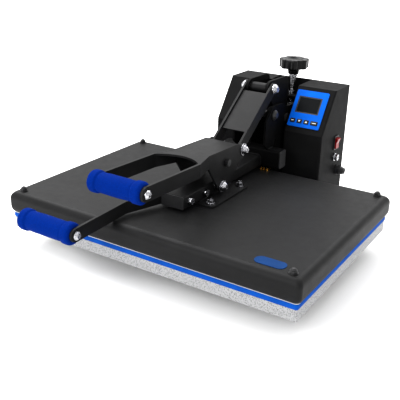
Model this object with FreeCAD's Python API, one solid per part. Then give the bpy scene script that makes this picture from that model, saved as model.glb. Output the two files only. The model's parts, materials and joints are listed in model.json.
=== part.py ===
"""Clamshell heat press with 610 x 406 mm platens, modelled closed.

Working frame of the dimensions below: X to the right, Y to the back, Z up, zero at the middle of
the silicone pad's top face.  save() moves every sub-part so that the exported frame has its zero
on the bench, under the middle of the whole press.
"""
import FreeCAD, Part
import math
import os

V = FreeCAD.Vector
os.makedirs("parts", exist_ok=True)

# ---------------------------------------------------------------- platen stack
PLATEN_HALF_X = 305.0
PLATEN_HALF_Y = 203.0
PAD_THICKNESS = 9.5
LOWER_PLATEN_THICKNESS = 21.3
LOWER_TOP = -PAD_THICKNESS
LOWER_BOTTOM = LOWER_TOP - LOWER_PLATEN_THICKNESS
RIB_PITCH = 63.0
POCKET_HALF = 27.5
POCKET_DEPTH = 11.0
HEAT_GAP = 0.3
HEAT_TOP = 14.0
COVER_HALF_X = 310.0
COVER_HALF_Y = 208.0
COVER_BOTTOM = 2.4
COVER_TOP = 43.5
COVER_WALL = 2.0
COVER_CORNER = 8.0
COVER_CROWN = 14.0
COVER_ROLL_IN = 8.0
COVER_ROLL_DOWN = 14.0
COVER_SCREW_X = 287.0
COVER_SCREW_Y = 188.5
BADGE_X = (216.0, 270.0)
BADGE_Y = (-190.0, -166.0)
TERMINAL_X = (31.0, 38.0, 45.0)
TERMINAL_Y = 188.0

# ---------------------------------------------------------------- base frame
TUBE_HEIGHT = 30.0
TUBE_WALL = 2.5
FRAME_TOP = LOWER_BOTTOM
FRAME_BOTTOM = FRAME_TOP - TUBE_HEIGHT
FOOT_HEIGHT = 12.0
BENCH = FRAME_BOTTOM - FOOT_HEIGHT
RAIL_X = 190.0
RAIL_WIDTH = 40.0
RAIL_FRONT = -115.0
RAIL_BACK = 262.0
CROSSMEMBER_WIDTH = 40.0
CROSSMEMBER_Y = (-80.0, 60.0, 222.0)
BASE_PLATE_TOP = FRAME_BOTTOM + 6.0
BENCH_BOLT_Y = (-35.0, 215.0)
BENCH_HOLE_R = 4.5
PLATEN_BOLT_Y = (-60.0, 150.0)

# ---------------------------------------------------------------- housings
BOX_IN = 40.0
BOX_OUT = 130.0
BOX_FRONT = 268.0
BOX_BACK = 406.0
BOX_BEND_Z = 113.0
BOX_TOP = 201.0
BOX_TOP_FRONT = 329.0
SHEET = 1.5

# ---------------------------------------------------------------- control panel, switch, fuse and gland
PANEL_X = (44.0, 118.0)
PANEL_UP = (13.0, 98.0)
PANEL_THICKNESS = 2.2
WINDOW_X = (52.0, 106.5)
WINDOW_UP = (45.0, 84.0)
BUTTON_UP = 26.0
BUTTON_HEIGHT = 9.0
BUTTONS = (("button_mode", 54.0, 11.0), ("button_down", 70.0, 11.0),
           ("button_up", 86.0, 11.0), ("button_ok", 104.0, 16.0))
SWITCH = (352.0, 80.0)
SWITCH_HALF = (11.0, 15.5)
KEY_PIVOT_OUT = -2.0
KEY_TILT = 8.0
KEY_PIN_R = 1.5
FUSE = (350.0, 47.0)
GLAND = (372.0, 10.0)
GLAND_BORE_R = 4.5

# ---------------------------------------------------------------- linkage pivots (Y, Z)
HINGE = (218.0, 158.0)
TOP_PIVOT = (224.0, 211.0)
LINK_PIVOT = (94.0, 115.0)
LEVER_PIVOT = (15.0, 62.5)
ROCKER_PIVOT = (290.0, 136.0)
SCREW_Y = 385.0
SCREW_R = 7.0
KNOB_R = 34.0
KNOB_LOBE_R = 8.5
KNOB_LOBES = 7

# ---------------------------------------------------------------- layers across X (inner, outer)
ROCKER_LAYER = (20.0, 26.0)
LINK_LAYER = (27.5, 32.0)
TOWER_LAYER = (27.5, 33.5)
LEVER_LAYER = (33.0, 37.5)
EAR_LAYER = (34.5, 39.5)
RUNNING = 0.06

# ---------------------------------------------------------------- pins and bolts, radii
SHAFT_R = 8.0
ROCKER_PIN_R = 7.0
PIVOT_BOLT_R = 6.0
TRUNNION_R = 12.0
TRUNNION_STUB_R = 6.0
M8_R = 4.0
M8_HOLE_R = 4.1
COVER_SCREW_R = 2.5

# ---------------------------------------------------------------- arm
BEAM_HALF = 25.0
BEAM_FRONT = -95.0
BEAM_BACK = 196.0
MOUNT_PLATE = 4.0
BEAM_BOTTOM = COVER_TOP + MOUNT_PLATE
BEAM_TOP = BEAM_BOTTOM + 25.0
MOUNT_BOLT_X = 46.5
MOUNT_BOLT_Y = (-39.0, 69.0)
CROSS_HALF = 67.5
CROSS_BACK = 226.0
CROSS_TOP = 87.5
HANDLE_BOLT_Y = (-78.0, -27.0)
HANDLE_T = 5.0
HANDLE_BOLT_Z = 60.0

# ---------------------------------------------------------------- lever and grips
LEVER_TOP_REAR = (72.0, 131.5)
LEVER_SLOPE = 0.0433
LEVER_ARM_DEPTH = 26.0
LEVER_GRIP = (-240.0, 132.5)
WEB_THICKNESS = 4.0
LEVER_NARROW_Y = -34.0
LEVER_WIDE_Y = -86.0
LEVER_WIDE = (47.0, 52.0)
STOP_BOLT = (30.0, 106.0)
LEVER_GRIP_X = (-60.0, 47.0)
GRIP_R = 18.0
COLLAR_R = 19.5
COLLAR_LENGTH = 15.0
GRIP_ROD_R = 6.0
FRONT_GRIP = (-294.0, 54.0)
FRONT_GRIP_X = (-173.0, -57.5)

# ---------------------------------------------------------------- link web, measured along the link
LINK_WEB_OFFSET = (5.5, 8.5)
LINK_WEB_FROM = 36.0
LINK_WEB_SHORT = 21.0

# ---------------------------------------------------------------- exported frame
FRONT_EXTREME = FRONT_GRIP[0] - COLLAR_R
BACK_EXTREME = SCREW_Y + KNOB_R
MIDDLE_Y = (FRONT_EXTREME + BACK_EXTREME) / 2
TO_BENCH_FRAME = V(0, -MIDDLE_Y, -BENCH)


# ================================================================ helpers
def block(x0, x1, y0, y1, z0, z1):
    return Part.makeBox(x1 - x0, y1 - y0, z1 - z0, V(x0, y0, z0))


def rod_x(radius, yz, x0, x1):
    return Part.makeCylinder(radius, x1 - x0, V(x0, yz[0], yz[1]), V(1, 0, 0))


def rod_y(radius, x, z, y0, y1):
    return Part.makeCylinder(radius, y1 - y0, V(x, y0, z), V(0, 1, 0))


def rod_z(radius, x, y, z0, z1):
    return Part.makeCylinder(radius, z1 - z0, V(x, y, z0), V(0, 0, 1))


def side_plate(points, x0, x1):
    """Polygon of (Y, Z) points made into a plate from x0 to x1."""
    corners = [V(x0, y, z) for y, z in points]
    outline = Part.makePolygon(corners + corners[:1])
    return Part.Face(outline).extrude(V(x1 - x0, 0, 0))


def plan_plate(points, z0, z1):
    """Polygon of (X, Y) points made into a plate from z0 to z1."""
    corners = [V(x, y, z0) for x, y in points]
    outline = Part.makePolygon(corners + corners[:1])
    return Part.Face(outline).extrude(V(0, 0, z1 - z0))


def capsule(start, end, r_start, r_end, x0, x1):
    """Two round bosses joined by their common tangents, seen from the side."""
    dy, dz = end[0] - start[0], end[1] - start[1]
    length = math.hypot(dy, dz)
    along = math.atan2(dz, dy)
    lean = math.acos((r_start - r_end) / length)
    corners = []
    tangents = ((start, r_start, 1), (end, r_end, 1), (end, r_end, -1), (start, r_start, -1))
    for centre, radius, side in tangents:
        angle = along + side * lean
        corners.append((centre[0] + radius * math.cos(angle), centre[1] + radius * math.sin(angle)))
    body = side_plate(corners, x0, x1)
    return merge([body, rod_x(r_start, start, x0, x1), rod_x(r_end, end, x0, x1)])


def merge(shapes):
    return shapes[0].fuse(shapes[1:]).removeSplitter()


def mirrored(shape):
    return shape.mirror(V(0, 0, 0), V(1, 0, 0))


def pair(shape):
    """The shape and its mirror image on the left, as separate solids."""
    return Part.makeCompound([shape, mirrored(shape)])


def rounded(shape, radius, chooser):
    edges = [edge for edge in shape.Edges if chooser(edge)]
    return shape.makeFillet(radius, edges)


def is_vertical(edge):
    first, last = edge.Vertexes[0].Point, edge.Vertexes[-1].Point
    return abs(first.x - last.x) < 1e-6 and abs(first.y - last.y) < 1e-6


def lies_along_x(edge):
    first, last = edge.Vertexes[0].Point, edge.Vertexes[-1].Point
    return abs(first.y - last.y) < 1e-6 and abs(first.z - last.z) < 1e-6


def at_height(edge, z):
    return all(abs(vertex.Z - z) < 1e-6 for vertex in edge.Vertexes)


def slab(half_x, half_y, z0, z1, corner, edge=0.8):
    """Rectangular slab with round corners and softened top and bottom edges."""
    body = rounded(block(-half_x, half_x, -half_y, half_y, z0, z1), corner, is_vertical)
    return rounded(body, edge, lambda e: at_height(e, z0) or at_height(e, z1))


def hex_prism(across, height, base, axis):
    """Hexagon standing on base along axis."""
    radius = across / math.sqrt(3)
    corners = [V(radius * math.cos(math.radians(60 * i)), radius * math.sin(math.radians(60 * i)), 0)
               for i in range(7)]
    prism = Part.Face(Part.makePolygon(corners)).extrude(V(0, 0, height))
    prism.Placement = FreeCAD.Placement(base, FreeCAD.Rotation(V(0, 0, 1), axis))
    return prism


def domed_head(radius, height, base, axis):
    """Low dome on a short round collar."""
    collar = Part.makeCylinder(radius, height * 0.35, V(0, 0, 0), V(0, 0, 1))
    dome = Part.makeCone(radius, radius * 0.55, height * 0.65, V(0, 0, height * 0.35), V(0, 0, 1))
    head = merge([collar, dome])
    head.Placement = FreeCAD.Placement(base, FreeCAD.Rotation(V(0, 0, 1), axis))
    return head


def rect_tube_y(x0, x1, y0, y1, z0, z1, corner=3.0):
    outer = block(x0, x1, y0, y1, z0, z1)
    outer = rounded(outer, corner, lambda e: abs(e.Length - (y1 - y0)) < 1e-6)
    hole = block(x0 + TUBE_WALL, x1 - TUBE_WALL, y0 - 1, y1 + 1, z0 + TUBE_WALL, z1 - TUBE_WALL)
    return outer.cut(hole)


def rect_tube_x(x0, x1, y0, y1, z0, z1, corner=3.0):
    outer = block(x0, x1, y0, y1, z0, z1)
    outer = rounded(outer, corner, lambda e: abs(e.Length - (x1 - x0)) < 1e-6)
    hole = block(x0 - 1, x1 + 1, y0 + TUBE_WALL, y1 - TUBE_WALL, z0 + TUBE_WALL, z1 - TUBE_WALL)
    return outer.cut(hole)


def save(node, shape):
    moved = shape.copy()
    moved.translate(TO_BENCH_FRAME)
    solids = moved.Solids
    assert solids and all(solid.isValid() for solid in solids), node
    moved.exportStep("parts/%s.step" % node)


# ================================================================ base frame (fixed)
def base_frame():
    half = RAIL_WIDTH / 2
    rail = rect_tube_y(RAIL_X - half, RAIL_X + half, RAIL_FRONT, RAIL_BACK, FRAME_BOTTOM, FRAME_TOP)
    for y in BENCH_BOLT_Y:
        rail = rail.cut(rod_z(BENCH_HOLE_R, RAIL_X, y, FRAME_BOTTOM - 1, FRAME_BOTTOM + TUBE_WALL + 1))
    for y in PLATEN_BOLT_Y:
        rail = rail.cut(rod_z(4, RAIL_X, y, FRAME_TOP - TUBE_WALL - 1, FRAME_TOP + 1))
    save("base_rails", pair(rail))

    inner = RAIL_X - half
    members = [rect_tube_x(-inner, inner, y0, y0 + CROSSMEMBER_WIDTH, FRAME_BOTTOM, FRAME_TOP)
               for y0 in CROSSMEMBER_Y]
    save("base_crossmembers", Part.makeCompound(members))

    plate = block(-BOX_OUT, BOX_OUT, RAIL_BACK, BOX_BACK, FRAME_BOTTOM, BASE_PLATE_TOP)
    plate = rounded(plate, 6, is_vertical)
    save("tower_base_plate", plate)

    feet = []
    for x, y in ((RAIL_X, -75.0), (110.0, 385.0)):
        cone = Part.makeCone(17, 20, FOOT_HEIGHT, V(x, y, BENCH), V(0, 0, 1))
        feet += [cone, mirrored(cone)]
    save("rubber_feet", Part.makeCompound(feet))


def casting_pockets():
    """Square hollows between the ribs under the cast platen, none above the rails."""
    pockets = []
    for column in (-4, -2, -1, 0, 1, 2, 4):
        for row in (-2.5, -1.5, -0.5, 0.5, 1.5, 2.5):
            x, y = RIB_PITCH * column, RIB_PITCH * row
            pockets.append(block(x - POCKET_HALF, x + POCKET_HALF, y - POCKET_HALF, y + POCKET_HALF,
                                 LOWER_BOTTOM - 1, LOWER_BOTTOM + POCKET_DEPTH))
    return pockets


def lower_platen():
    platen = slab(PLATEN_HALF_X - 1, PLATEN_HALF_Y - 1, LOWER_BOTTOM, LOWER_TOP, 4)
    holes = [rod_z(4, sx * RAIL_X, y, LOWER_BOTTOM - 1, LOWER_BOTTOM + 12)
             for sx in (-1, 1) for y in PLATEN_BOLT_Y]
    save("lower_platen", platen.cut(holes + casting_pockets()))

    pad = slab(PLATEN_HALF_X, PLATEN_HALF_Y, LOWER_TOP, 0.0, 4)
    save("silicone_pad", pad)

    bolts = []
    for sx in (-1, 1):
        for y in PLATEN_BOLT_Y:
            wall = FRAME_TOP - TUBE_WALL
            shank = rod_z(3.9, sx * RAIL_X, y, wall, LOWER_BOTTOM + 11)
            head = hex_prism(13, 6, V(sx * RAIL_X, y, wall - 6), V(0, 0, 1))
            bolts.append(merge([head, shank]))
    save("platen_bolts", Part.makeCompound(bolts))


# ================================================================ tower (fixed)
def tower():
    inner, outer = TOWER_LAYER
    hinge_y, hinge_z = HINGE
    lug = capsule(HINGE, (268.0, 150.0), 16, 22, inner, outer)
    column = side_plate([(246, BASE_PLATE_TOP), (246, 96), (226, 136), (250, 172), (300, 160),
                         (402, 160), (402, BASE_PLATE_TOP)], inner, outer)
    column = column.cut(block(inner - 1, outer + 1, 240, RAIL_BACK, BASE_PLATE_TOP - 1, FRAME_TOP + 1))
    plate = merge([column, lug])
    plate = plate.cut([rod_x(SHAFT_R, HINGE, inner - 1, outer + 1),
                       rod_x(ROCKER_PIN_R, ROCKER_PIVOT, inner - 1, outer + 1)])
    save("tower_plates", pair(plate))

    back = block(-inner, inner, 394, 402, BASE_PLATE_TOP, 108)
    save("tower_back_plate", back)

    bridge = block(-outer, outer, 362, 402, 160, 168)
    bridge = rounded(bridge, 3, lambda e: at_height(e, 168) and lies_along_x(e))
    save("screw_bridge", bridge.cut(rod_z(SCREW_R + RUNNING, 0, SCREW_Y, 150, 180)))

    shaft = rod_x(SHAFT_R, HINGE, -EAR_LAYER[1] - 0.4, EAR_LAYER[1] + 0.4)
    caps = [domed_head(11, 7, V(side * (EAR_LAYER[1] + 0.4), hinge_y, hinge_z), V(side, 0, 0))
            for side in (-1, 1)]
    save("hinge_shaft", merge([shaft] + caps))

    pin = rod_x(ROCKER_PIN_R, ROCKER_PIVOT, -outer, outer)
    ends = [Part.makeCylinder(10, 4, V(side * outer, *ROCKER_PIVOT), V(side, 0, 0)) for side in (-1, 1)]
    save("rocker_pin", merge([pin] + ends))


# ================================================================ pressure adjustment
def pressure_rocker():
    inner, outer = ROCKER_LAYER
    pivot_y, pivot_z = ROCKER_PIVOT
    top_y, top_z = TOP_PIVOT
    crown = side_plate([(224, 226.9), (291, 226), (303, 222), (307, 213), (307, 158),
                        (398, 151), (398, 121), (pivot_y, pivot_z - 15), (276.5, 128.5), (212, 200.5)],
                       inner, outer)
    plate = merge([crown, rod_x(16, TOP_PIVOT, inner, outer), rod_x(15, ROCKER_PIVOT, inner, outer)])
    plate = plate.cut([rod_x(ROCKER_PIN_R + RUNNING, ROCKER_PIVOT, inner - 1, outer + 1),
                       rod_x(PIVOT_BOLT_R, TOP_PIVOT, inner - 1, outer + 1),
                       rod_x(TRUNNION_STUB_R, (SCREW_Y, pivot_z), inner - 1, outer + 1)])
    rear_wall = block(-inner, inner, 301, 307, 170, 213)
    save("pressure_rocker", merge([plate, mirrored(plate), rear_wall]))

    nut = rod_x(TRUNNION_R, (SCREW_Y, pivot_z), -inner, inner)
    stubs = rod_x(TRUNNION_STUB_R, (SCREW_Y, pivot_z), -outer, outer)
    save("trunnion_nut", merge([nut, stubs]).cut(rod_z(SCREW_R + 0.8, 0, SCREW_Y, 100, 180)))

    link_outer = LINK_LAYER[1]
    shank = rod_x(PIVOT_BOLT_R, TOP_PIVOT, -link_outer - 0.5, link_outer + 0.5)
    sleeve = rod_x(9.5, TOP_PIVOT, -inner, inner)
    gap = LINK_LAYER[0] - outer - 0.3
    collars = [Part.makeCylinder(10, gap, V(side * outer, top_y, top_z), V(side, 0, 0)) for side in (-1, 1)]
    heads = [domed_head(11, 9, V(side * (link_outer + 0.5), top_y, top_z), V(side, 0, 0))
             for side in (-1, 1)]
    save("top_pivot_bolt", merge([shank, sleeve] + collars + heads))


def pressure_screw():
    screw = rod_z(SCREW_R, 0, SCREW_Y, 112, 214)
    save("pressure_screw", screw)
    rings = [rod_z(radius, 0, SCREW_Y, low, high).cut(screw)
             for radius, low, high in ((10, 155.5, 159.7), (11, 168.3, 173), (9.5, 207, 213))]
    save("thrust_collars", Part.makeCompound(rings))
    hub = Part.makeCone(12, 14, 14, V(0, SCREW_Y, 213), V(0, 0, 1))
    disc = Part.makeCylinder(30.5, 21, V(0, SCREW_Y, 227), V(0, 0, 1))
    reach = KNOB_R - KNOB_LOBE_R
    lobes = []
    for i in range(KNOB_LOBES):
        angle = 2 * math.pi / KNOB_LOBES * i
        x, y = reach * math.sin(angle), SCREW_Y + reach * math.cos(angle)
        lobes.append(rod_z(KNOB_LOBE_R, x, y, 227, 248))
    star = merge([disc] + lobes)
    star = rounded(star, 3.5, lambda e: at_height(e, 248))
    star = rounded(star, 2.0, lambda e: at_height(e, 227))
    dish = Part.makeCone(18, 24, 4, V(0, SCREW_Y, 244.5), V(0, 0, 1))
    taper = Part.makeCone(14, 24, 5, V(0, SCREW_Y, 222.2), V(0, 0, 1))
    knob = merge([star, hub, taper]).cut([screw, dish])
    save("pressure_knob", knob)


# ================================================================ housings (fixed)
def slanted_place(x=0.0, along=0.0, out=0.0):
    """Placement on the sloping front of the control housing: x across, along up the slope, out."""
    slope = math.atan2(BOX_TOP - BOX_BEND_Z, BOX_TOP_FRONT - BOX_FRONT)
    turn = FreeCAD.Rotation(V(1, 0, 0), math.degrees(slope))
    origin = V(0, BOX_FRONT, BOX_BEND_Z) + turn.multVec(V(x, along, out))
    return FreeCAD.Placement(origin, turn)


def on_slope(shape, out=0.0):
    placed = shape.copy()
    placed.Placement = slanted_place(0, 0, out)
    return placed


def is_front_side_edge(edge):
    """Upright or sloping edge at the front of a housing."""
    depths = [vertex.Y for vertex in edge.Vertexes]
    return not lies_along_x(edge) and max(depths) < BOX_TOP_FRONT + 1 and min(depths) < BOX_TOP_FRONT - 1


def housing_shell():
    outline = [(BOX_FRONT, BASE_PLATE_TOP), (BOX_FRONT, BOX_BEND_Z), (BOX_TOP_FRONT, BOX_TOP),
               (BOX_BACK - SHEET, BOX_TOP), (BOX_BACK - SHEET, BASE_PLATE_TOP)]
    outer = side_plate(outline, BOX_IN, BOX_OUT)
    outer = rounded(outer, 4, is_front_side_edge)
    slope_gap = SHEET * math.tan(math.radians(17.4))
    core = [(BOX_FRONT + SHEET, BASE_PLATE_TOP - 1), (BOX_FRONT + SHEET, BOX_BEND_Z - slope_gap),
            (BOX_TOP_FRONT + slope_gap, BOX_TOP - SHEET), (BOX_BACK + 1, BOX_TOP - SHEET),
            (BOX_BACK + 1, BASE_PLATE_TOP - 1)]
    return outer.cut(side_plate(core, BOX_IN + SHEET, BOX_OUT - SHEET))


def button_body(x, width, low, high, shrink=0.0):
    half_w, half_h = width / 2 - shrink, BUTTON_HEIGHT / 2 - shrink
    body = block(x - half_w, x + half_w, BUTTON_UP - half_h, BUTTON_UP + half_h, low, high)
    return rounded(body, 1.5, is_vertical)


def control_housing():
    shell = housing_shell()
    window = block(WINDOW_X[0] - 2, WINDOW_X[1] + 2, WINDOW_UP[0] - 2, WINDOW_UP[1] + 2, -6, 6)
    cuts = [on_slope(window)]
    for _, x, width in BUTTONS:
        cuts.append(on_slope(button_body(x, width, -6, 6, -0.6)))
    half_y, half_z = SWITCH_HALF[0] - 2, SWITCH_HALF[1] - 2
    cuts.append(block(BOX_OUT - 5, BOX_OUT + 5, SWITCH[0] - half_y, SWITCH[0] + half_y,
                      SWITCH[1] - half_z, SWITCH[1] + half_z))
    cuts.append(rod_x(6, FUSE, BOX_OUT - 5, BOX_OUT + 5))
    cuts.append(rod_x(8, GLAND, BOX_OUT - 5, BOX_OUT + 5))
    save("control_housing", shell.cut(cuts))
    save("left_housing", mirrored(housing_shell()))

    panel = block(-BOX_OUT, BOX_OUT, BOX_BACK - SHEET, BOX_BACK, BASE_PLATE_TOP, BOX_TOP)
    slots = [block(sx * 85 - 25, sx * 85 + 25, BOX_BACK - 5, BOX_BACK + 5, z, z + 4)
             for sx in (-1, 1) for z in (20, 32, 44, 56, 68)]
    save("rear_panel", panel.cut(slots))

    screws = []
    for sx in (-1, 1):
        for x in (BOX_IN + 8, BOX_OUT - 8):
            for z in (-40.0, 190.0):
                screws.append(domed_head(3.5, 2.4, V(sx * x, BOX_BACK, z), V(0, 1, 0)))
    save("housing_screws", Part.makeCompound(screws))


def control_panel():
    sheet = block(PANEL_X[0], PANEL_X[1], PANEL_UP[0], PANEL_UP[1], 0, PANEL_THICKNESS)
    sheet = rounded(sheet, 3, is_vertical)
    cuts = [block(WINDOW_X[0], WINDOW_X[1], WINDOW_UP[0], WINDOW_UP[1], -1, 5)]
    for _, x, width in BUTTONS:
        cuts.append(button_body(x, width, -1, 5, -0.4))
    save("panel_bezel", on_slope(sheet.cut(cuts)))

    glass = block(WINDOW_X[0] - 1.5, WINDOW_X[1] + 1.5, WINDOW_UP[0] - 1.5, WINDOW_UP[1] + 1.5, -2.0, 0.0)
    save("display_window", on_slope(glass.fuse(block(WINDOW_X[0], WINDOW_X[1], WINDOW_UP[0], WINDOW_UP[1],
                                                     0, 1.2)).removeSplitter()))
    for name, x, width in BUTTONS:
        cap = rounded(button_body(x, width, -3.5, 3.4), 0.7, lambda e: at_height(e, 3.4))
        save(name, on_slope(cap))

    board = block(48, 122, 12, 96, -9.1, -7.5)
    modules = [block(54, 104, 48, 82, -7.5, -2.4), block(60, 80, 60, 90, -19, -9.1),
               block(96, 112, 20, 44, -24, -9.1)]
    save("controller_board", on_slope(merge([board] + modules)))


def electrical_parts():
    y, z = SWITCH
    half_y, half_z = SWITCH_HALF
    flange = block(BOX_OUT, BOX_OUT + 2.5, y - half_y, y + half_y, z - half_z, z + half_z)
    flange = rounded(flange, 2, lambda e: lies_along_x(e))
    body = block(BOX_OUT - 22, BOX_OUT, y - half_y + 2.2, y + half_y - 2.2,
                 z - half_z + 2.2, z + half_z - 2.2)
    tags = [block(BOX_OUT - 31, BOX_OUT - 22, y - 3, y + 3, z + dz, z + dz + 0.8) for dz in (-8, 0, 8)]
    well = block(BOX_OUT - 9, BOX_OUT + 5, y - 8.1, y + 8.1, z - 12.7, z + 12.7)
    key_x = BOX_OUT + KEY_PIVOT_OUT
    pivot_holes = rod_y(KEY_PIN_R + RUNNING, key_x, z, y - 12, y + 12)
    save("switch_body", merge([flange, body] + tags).cut([well, pivot_holes]))

    corners = [V(BOX_OUT + out, y - 7.8, z + up)
               for out, up in ((-4, -11.4), (7.5, -11.7), (5.2, 0), (7.5, 11.7), (-4, 11.4))]
    key = Part.Face(Part.makePolygon(corners + corners[:1])).extrude(V(0, 15.6, 0))
    key = rounded(key, 1.2, lambda e: abs(e.Length - 15.6) < 1e-6 and e.Vertexes[0].X > BOX_OUT + 6)
    key.rotate(V(key_x, y, z), V(0, 1, 0), KEY_TILT)
    key = merge([key, rod_y(KEY_PIN_R, key_x, z, y - 8.7, y + 8.7)])
    save("rocker_key", key)

    barrel = rod_x(5.8, FUSE, BOX_OUT - 28, BOX_OUT)
    ring = rod_x(9, FUSE, BOX_OUT, BOX_OUT + 3)
    cap = rod_x(7, FUSE, BOX_OUT + 3, BOX_OUT + 10)
    slot = block(BOX_OUT + 8, BOX_OUT + 11, FUSE[0] - 8, FUSE[0] + 8, FUSE[1] - 0.8, FUSE[1] + 0.8)
    save("fuse_holder", merge([barrel, ring, cap]).cut(slot))

    nut = Part.makeCylinder(11, 4, V(BOX_OUT, *GLAND), V(1, 0, 0))
    hexagon = hex_prism(20, 7, V(BOX_OUT + 4, *GLAND), V(1, 0, 0))
    dome = Part.makeCone(9.5, 7, 9, V(BOX_OUT + 11, *GLAND), V(1, 0, 0))
    neck = rod_x(7.8, GLAND, BOX_OUT - 10, BOX_OUT)
    lock = hex_prism(21, 4, V(BOX_OUT - SHEET - 4, *GLAND), V(1, 0, 0))
    gland = merge([nut, hexagon, dome, neck, lock])
    save("cable_gland", gland.cut([rod_x(GLAND_BORE_R, GLAND, BOX_OUT, BOX_OUT + 22),
                                   rod_x(GLAND_BORE_R + 1.5, GLAND, BOX_OUT - 12, BOX_OUT)]))

    relay = block(-112, -67, 331.5, 391.5, -30, -6)
    fins = [block(-118, -61, 330 + 6 * i, 333 + 6 * i, BASE_PLATE_TOP + 4, -30) for i in range(11)]
    sink = block(-118, -61, 330, 393, BASE_PLATE_TOP, BASE_PLATE_TOP + 4)
    save("solid_state_relay", merge([relay, sink] + fins))

    terminals = block(60, 110, 380, 398, BASE_PLATE_TOP, BASE_PLATE_TOP + 18)
    holes = [rod_z(2.5, 66 + 9.5 * i, 389, BASE_PLATE_TOP + 6, BASE_PLATE_TOP + 20) for i in range(5)]
    save("terminal_block", terminals.cut(holes))


# ================================================================ swinging arm
def cover_outline(half_x, half_y, corner, z):
    """Level rectangle with round corners, as a closed wire."""
    edges = []
    for quarter, (sx, sy) in enumerate(((1, 1), (-1, 1), (-1, -1), (1, -1))):
        centre = V(sx * (half_x - corner), sy * (half_y - corner), z)
        start, middle, end = (centre + V(math.cos(a) * corner, math.sin(a) * corner, 0)
                              for a in (math.pi / 2 * (quarter + part) for part in (0, 0.5, 1)))
        if edges:
            edges.append(Part.makeLine(edges[-1].lastVertex(True).Point, start))
        edges.append(Part.Arc(start, middle, end).toShape())
    edges.append(Part.makeLine(edges[-1].lastVertex(True).Point, edges[0].firstVertex(True).Point))
    return Part.Wire(edges)


def pressed_cover(wall):
    """Solid pressed shape, crowned at the top and rolled in at the bottom, wall inside its outer face."""
    half_x, half_y, corner = COVER_HALF_X - wall, COVER_HALF_Y - wall, COVER_CORNER - wall
    crown = COVER_CROWN - wall
    crown_start = COVER_TOP - COVER_CROWN
    roll_end = COVER_BOTTOM + COVER_ROLL_DOWN * math.sin(math.radians(60))

    def level(inset, z):
        return cover_outline(half_x - inset, half_y - inset, corner, z)

    angles = [math.radians(a) for a in (60, 40, 20, 0)]
    roll = [level(COVER_ROLL_IN * (1 - math.cos(a)), roll_end - COVER_ROLL_DOWN * math.sin(a))
            for a in angles]
    angles = [math.radians(15 * i) for i in range(7)]
    top = [level(crown * (1 - math.cos(a)), crown_start + crown * math.sin(a)) for a in angles]
    sides = Part.Face(roll[-1]).extrude(V(0, 0, crown_start - roll_end))
    return merge([Part.makeLoft(roll, True), sides, Part.makeLoft(top, True)])


def upper_platen():
    cover = pressed_cover(0.0).cut(pressed_cover(COVER_WALL))
    corners = [(sx * COVER_SCREW_X, sy * COVER_SCREW_Y) for sx in (-1, 1) for sy in (-1, 1)]
    mounts = [(sx * MOUNT_BOLT_X, y) for sx in (-1, 1) for y in MOUNT_BOLT_Y]
    cover = cover.cut([rod_z(COVER_SCREW_R + 0.1, x, y, 30, 50) for x, y in corners]
                      + [rod_z(M8_HOLE_R, x, y, 30, 50) for x, y in mounts])
    save("platen_cover", cover)

    inner_x, inner_y = PLATEN_HALF_X - 2, PLATEN_HALF_Y - 2
    rim = slab(PLATEN_HALF_X, PLATEN_HALF_Y, HEAT_GAP, COVER_BOTTOM, 7, 0.5)
    core = block(-inner_x, inner_x, -inner_y, inner_y, COVER_BOTTOM, HEAT_TOP)
    heat = merge([rim, rounded(core, 6, is_vertical)])
    heat = heat.cut([rod_z(COVER_SCREW_R, x, y, 6, 20) for x, y in corners]
                    + [rod_z(M8_R, x, y, 6, 20) for x, y in mounts])
    save("heating_platen", heat)

    blanket = rounded(block(-294, 294, -192, 192, 23, 41), 12, is_vertical)
    blanket = blanket.cut([rod_z(5, x, y, 20, 45) for x, y in corners]
                          + [rod_z(8, x, y, 20, 45) for x, y in mounts])
    save("insulation_blanket", blanket)

    save("heating_element", heating_element())

    badge = rounded(block(*BADGE_X, *BADGE_Y, COVER_TOP, COVER_TOP + 0.8), 11, is_vertical)
    save("badge_plate", badge)

    save("heater_terminals", Part.makeCompound([heater_terminal(x) for x in TERMINAL_X]))

    screws = []
    for x, y in corners:
        washer = rod_z(7.5, x, y, COVER_TOP, COVER_TOP + 1.4)
        nut = hex_prism(11.5, 4, V(x, y, COVER_TOP + 1.4), V(0, 0, 1))
        dome = domed_head(5.0, 3.4, V(x, y, COVER_TOP + 5.4), V(0, 0, 1))
        screws.append(merge([washer, nut, dome, rod_z(COVER_SCREW_R, x, y, 6, COVER_TOP)]))
    save("cover_screws", Part.makeCompound(screws))


def heating_element():
    """Serpentine tube resting on the upper platen, clear of the mounting bolts."""
    radius, height = 4.0, HEAT_TOP + 4.0
    reach, pitch, runs = 240.0, 50.0, 8
    pieces = []
    for run in range(runs):
        y = -165.0 + pitch * run
        pieces.append(Part.makeCylinder(radius, 2 * reach, V(-reach, y, height), V(1, 0, 0)))
        if run < runs - 1:
            side = 1 if run % 2 == 0 else -1
            bend = Part.makeTorus(pitch / 2, radius, V(side * reach, y + pitch / 2, height), V(0, 0, 1))
            half = block(0, 60, y - 30, y + pitch + 30, 0, 40)
            half.translate(V(side * reach if side > 0 else -reach - 60, 0, 0))
            pieces.append(bend.common(half))
    return merge(pieces)


def heater_terminal(x):
    """Brass stud with a ring lug whose crimped tail points to the back."""
    lug = merge([rod_z(3.2, x, TERMINAL_Y, COVER_TOP, COVER_TOP + 1),
                 block(x - 1.6, x + 1.6, TERMINAL_Y, TERMINAL_Y + 7, COVER_TOP, COVER_TOP + 1)])
    crimp = rod_y(1.5, x, COVER_TOP + 1.5, TERMINAL_Y + 5, TERMINAL_Y + 13)
    nut = hex_prism(5, 2.2, V(x, TERMINAL_Y, COVER_TOP + 1), V(0, 0, 1))
    stud = rod_z(1.4, x, TERMINAL_Y, COVER_TOP, COVER_TOP + 5.5)
    return merge([lug, crimp, nut, stud])


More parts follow.
